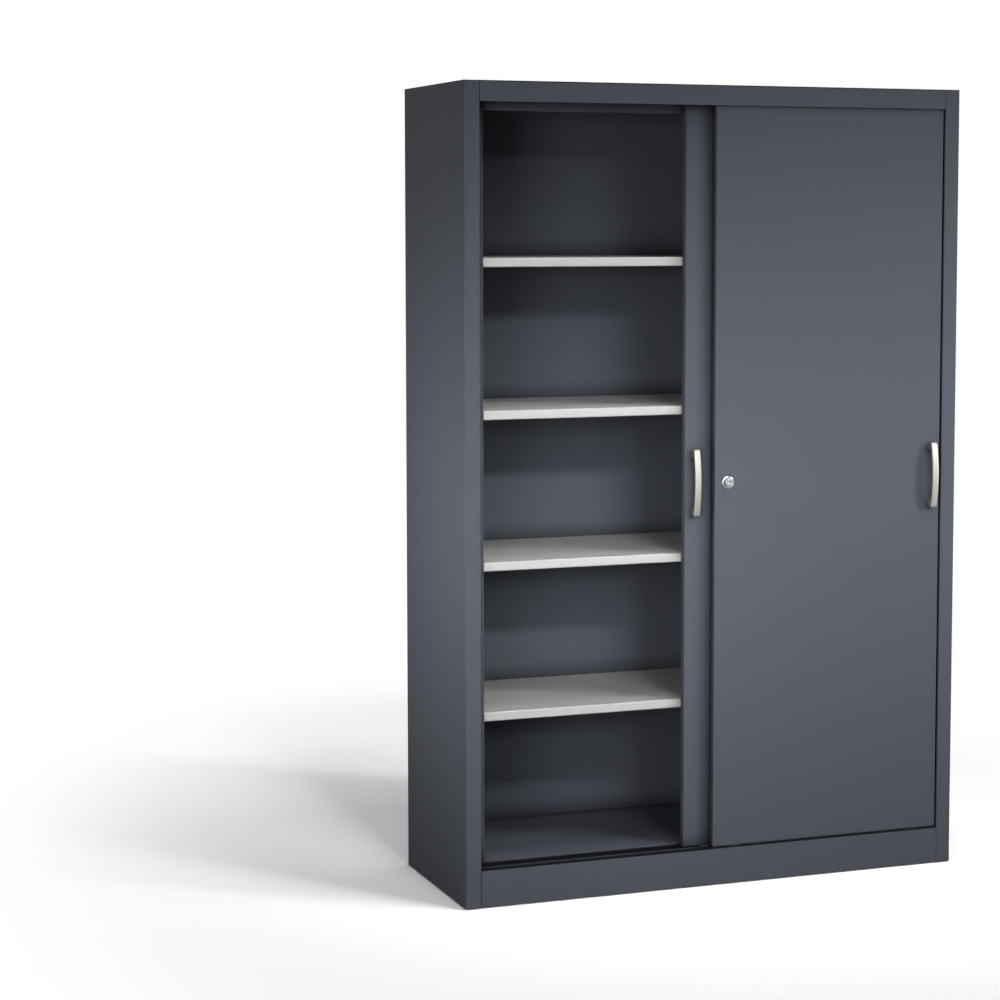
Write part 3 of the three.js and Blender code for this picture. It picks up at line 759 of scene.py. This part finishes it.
# Lock, as radius and way in from the door's face in millimetres. The rosette has a groove round its bore,
# the cylinder a groove round the plug, and the plug a dished face.
BARREL = 12.3
ROSETTE = [
    (10.3, -2.2), (10.8, -2.8), (12.1, -2.8), (12.3, -2.4), (12.7, -2.4), (12.9, -2.75), (14.2, -2.3),
    (15, -1.3), (15, -0.3), (BARREL, -0.3), (BARREL, 1.6), *thread(BARREL, 0.5, 1, 1.6, 11.5),
    (12, 11.6), (12, 12), (10.3, 12),
]
CYLINDER_FACE = -10.8
CYLINDER = (
    (5.3, -10.4), (5.6, CYLINDER_FACE), (7.1, CYLINDER_FACE), (7.3, -10.5), (7.7, -10.5),
    (7.9, CYLINDER_FACE), (8.8, CYLINDER_FACE), (10, -9.8), (10, 4.2), (4, 4.2), (4, 14.65),
    (3.2, 15.65), (0, 15.65), (0, 1.5), (5.3, 1.5),
)
PLUG = (
    (0, -10.9), (3.2, -10.9), (3.9, -11.3), (4.5, -11.3), (5, -10.8), (5, 1.2), (0, 1.2),
)
KEY_SLOT = (3, 9, 7.6)  # width, depth to each side of the plug's face, and height


class CabinetLock(bpy.types.Operator):
    """Push cylinder lock in the right door and its strike on the left door"""
    bl_idname = "cabinet.lock"
    bl_label = "Lock"

    def execute(self, context):
        sheet = context.scene.cabinet_sheet
        low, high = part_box("lock_plug")
        eye = Vector(((low.x + high.x) / 2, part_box("right_door_skin")[0].y, (low.z + high.z) / 2))
        wide, deep, tall = (Vector(KEY_SLOT) * MM)
        half = Vector((wide / 2, deep, tall / 2))
        front = Vector((eye.x, low.y, eye.z))
        plug = carved(turned(eye, (0, 1, 0), PLUG), [bar(front - half, front + half)])
        for node, source in (
            ("lock_housing", turned(eye, (0, 1, 0), ROSETTE, 96)),
            ("lock_cylinder", turned(eye, (0, 1, 0), CYLINDER, 72)),
            ("lock_plug", plug),
        ):
            stand_in(node, "turned", source,
                     lambda edge: 0 if edge.verts[0].co.y > eye.y + MM else small_radius(edge, sheet.moulded),
                     SMALL_STEPS)
        stand_in("left_lock_strike", "pressed", whole_faces("left_lock_strike"),
                 lambda edge: small_radius(edge, sheet.cut), SMALL_STEPS)
        return {"FINISHED"}


# Stage

def seen_directly(owner):
    """One for a ray from the camera, a mirror or glass, and nought for the light that falls on things."""
    path = add(owner, "ShaderNodeLightPath").outputs
    mirrored = calculated(owner, "MAXIMUM", path["Is Glossy Ray"], path["Is Transmission Ray"])
    return calculated(owner, "MAXIMUM", path["Is Camera Ray"], mirrored)


def white_world(stage):
    """White to the camera and in reflections, and a lower even light on the cabinet."""
    world = bpy.data.worlds.new("White studio")
    world.use_nodes = True
    world.node_tree.nodes.clear()
    output = add(world, "ShaderNodeOutputWorld")
    level = between(world, seen_directly(world), stage.daylight, 1.0)
    sky = add(world, "ShaderNodeBackground", None, Color=(1, 1, 1, 1), Strength=level)
    world.node_tree.links.new(sky.outputs["Background"], output.inputs["Surface"])
    bpy.context.scene.world = world


PAPER_OVAL = (1.6, 1, 1)  # the paper turns white nearer at the sides than in front and behind
PAPER_NEAR, PAPER_FAR = 1.3, 2.6  # distances in metres between which it turns white
FLOOR_HALF = 30  # half the floor's width in metres


def studio_floor(stage):
    """Matt white paper that keeps the cabinet's shadow. The camera sees it lighter than the light that it
    gives back to the cabinet. With distance it turns to plain white, to the camera and to mirrors, so that it
    meets the white behind."""
    material, output = bare("White studio paper")
    looked_at = add(material, "ShaderNodeLightPath").outputs["Is Camera Ray"]
    level = between(material, looked_at, stage.bounce, stage.paper)
    fibre = between(material, grain(material, PAPER_FIBRE), 0.99, 1.01)
    tone = calculated(material, "MULTIPLY", level, fibre)
    paper = add(material, "ShaderNodeBsdfDiffuse", None, Color=tone)
    place = add(material, "ShaderNodeTexCoord").outputs["Object"]
    oval = add(material, "ShaderNodeVectorMath", {"operation": "MULTIPLY"})
    material.node_tree.links.new(place, oval.inputs[0])
    oval.inputs[1].default_value = PAPER_OVAL
    reach = add(material, "ShaderNodeVectorMath", {"operation": "LENGTH"}, Vector=oval.outputs["Vector"])
    far = add(material, "ShaderNodeMapRange", {"interpolation_type": "SMOOTHSTEP"},
              Value=reach.outputs["Value"], From_Min=PAPER_NEAR, From_Max=PAPER_FAR).outputs["Result"]
    white = add(material, "ShaderNodeEmission", None, Color=(1, 1, 1, 1), Strength=1.0)
    share = calculated(material, "MULTIPLY", far, seen_directly(material))
    blend = add(material, "ShaderNodeMixShader", None, Fac=share)
    material.node_tree.links.new(paper.outputs["BSDF"], blend.inputs[1])
    material.node_tree.links.new(white.outputs["Emission"], blend.inputs[2])
    material.node_tree.links.new(blend.outputs["Shader"], output.inputs["Surface"])
    return material


def soft_lamp(name, level, place, aim, size, spread, power):
    """Rectangular soft box that no camera sees."""
    data = bpy.data.lights.new(name, "AREA")
    data.shape = "RECTANGLE"
    data.size, data.size_y = size
    data.energy = level * power
    data.spread = math.radians(spread)
    lamp = bpy.data.objects.new(name, data)
    lamp.location = place
    lamp.rotation_mode = "QUATERNION"
    lamp.rotation_quaternion = (Vector(aim) - Vector(place)).to_track_quat("-Z", "Y")
    lamp.visible_camera = False
    bpy.context.scene.collection.objects.link(lamp)
    return lamp


# Where each lamp stands and what it points at, its size and spread of light, and its power in watts.
LAMPS = {
    "Key lamp": {
        "place": (4.5, -6, 9), "aim": (0.35, 0, 0.75), "size": (2.5, 2.5), "spread": 20, "power": 5.0},
    "Right front lamp": {
        "place": (6, -5, 3.4), "aim": (0.45, -0.2, 0.9), "size": (0.8, 0.8), "spread": 20, "power": 3.6},
    "Overhead lamp": {
        "place": (0.45, -1.2, 5), "aim": (0, -1.2, 0), "size": (1, 3.2), "spread": 180, "power": 38.8},
    "Top lamp": {
        "place": (0, 0, 4.5), "aim": (0, 0, 0), "size": (3, 3), "spread": 180, "power": 25.5},
    "Upper strip": {
        "place": (0.3, -3.4, 2.5), "aim": (0.3, 0, 0.85), "size": (2.4, 0.2), "spread": 30, "power": 3.3},
    "Fill lamp": {
        "place": (-3.6, -4.6, 1.3), "aim": (-0.2, 0, 0.8), "size": (1.5, 1.5), "spread": 60, "power": 9.1},
    "Open half lamp": {
        "place": (-0.5, -3.4, 1.5), "aim": (-0.35, 0.2, 0.6), "size": (0.5, 0.5), "spread": 24, "power": 0.48},
    "Inner lamp": {
        "place": (-2.4, -3.6, 2.2), "aim": (-0.35, 0.1, 0.9), "size": (0.6, 0.6), "spread": 20, "power": 0.29},
    "Left lamp": {
        "place": (-2, -0.2, 0.86), "aim": (0, -0.2, 0.86), "size": (0.7, 0.2), "spread": 60, "power": 1.5},
    "Right lamp": {
        "place": (2, 0.1, 0.86), "aim": (0, 0.1, 0.86), "size": (0.7, 0.2), "spread": 60, "power": 1.6},
    "Rear lamp": {
        "place": (0.3, 4.2, 1.5), "aim": (0, 0.2, 0.8), "size": (1.8, 1.8), "spread": 44, "power": 11},
}


class CabinetStage(bpy.types.Operator):
    """White floor, soft lamps and the camera"""
    bl_idname = "cabinet.stage"
    bl_label = "Stage"

    def execute(self, context):
        stage = context.scene.cabinet_stage
        white_world(stage)
        plane = bpy.data.meshes.new("Studio floor")
        made = bmesh.new()
        bmesh.ops.create_grid(made, x_segments=1, y_segments=1, size=FLOOR_HALF)
        made.to_mesh(plane)
        made.free()
        floor = bpy.data.objects.new("Studio floor", plane)
        plane.materials.append(studio_floor(stage))
        # The floor mustn't count as a wall that puts painted corner shade on the coat beside it.
        floor.visible_shadow = False
        context.scene.collection.objects.link(floor)
        lamps = {name: soft_lamp(name, stage.lamps, **lamp) for name, lamp in LAMPS.items()}
        cabinet = bpy.data.collections.new("Cabinet")
        for item in context.scene.objects:
            if item.type == "MESH" and item != floor:
                cabinet.objects.link(item)
        # The rear lamp lights the cabinet alone, so that it doesn't lighten the shadow on the floor.
        lamps["Rear lamp"].light_linking.receiver_collection = cabinet
        data = bpy.data.cameras.new("Camera")
        data.lens = stage.lens
        data.shift_x, data.shift_y = stage.shift
        camera = bpy.data.objects.new("Camera", data)
        place, aim = Vector(stage.place), Vector(stage.aim)
        camera.location = place
        camera.rotation_mode = "QUATERNION"
        camera.rotation_quaternion = (aim - place).to_track_quat("-Z", "Y")
        context.scene.collection.objects.link(camera)
        context.scene.camera = camera
        context.scene.view_settings.view_transform = "Standard"
        return {"FINISHED"}


GROUPS = (
    CabinetCarcass, CabinetRails, CabinetShelves, CabinetFeet, CabinetDoors,
    CabinetRunningGear, CabinetHandles, CabinetLock, CabinetStage,
)


class CabinetPanel(bpy.types.Panel):
    """Lists the cabinet's sizes, colours and pieces"""
    bl_idname = "VIEW3D_PT_cabinet"
    bl_label = "Sliding Door Cabinet"
    bl_space_type = "VIEW_3D"
    bl_region_type = "UI"
    bl_category = "Cabinet"

    def draw(self, context):
        scene = context.scene
        for settings in (scene.cabinet_sheet, scene.cabinet_finish, scene.cabinet_stage):
            column = self.layout.column()
            for name in settings.__annotations__:
                column.prop(settings, name)
        for group in GROUPS:
            self.layout.operator(group.bl_idname)


SETTINGS = {
    "cabinet_sheet": CabinetSheetSettings,
    "cabinet_finish": CabinetFinishSettings,
    "cabinet_stage": CabinetStageSettings,
}


def register():
    for kind in (*SETTINGS.values(), *GROUPS, CabinetPanel):
        bpy.utils.register_class(kind)
    for name, kind in SETTINGS.items():
        setattr(bpy.types.Scene, name, bpy.props.PointerProperty(type=kind))


def unregister():
    for name in SETTINGS:
        delattr(bpy.types.Scene, name)
    for kind in (CabinetPanel, *reversed(GROUPS), *SETTINGS.values()):
        bpy.utils.unregister_class(kind)


def main():
    register()
    for group in GROUPS:
        folder, name = group.bl_idname.split(".")
        getattr(getattr(bpy.ops, folder), name)()


if __name__ == "__main__":
    main()
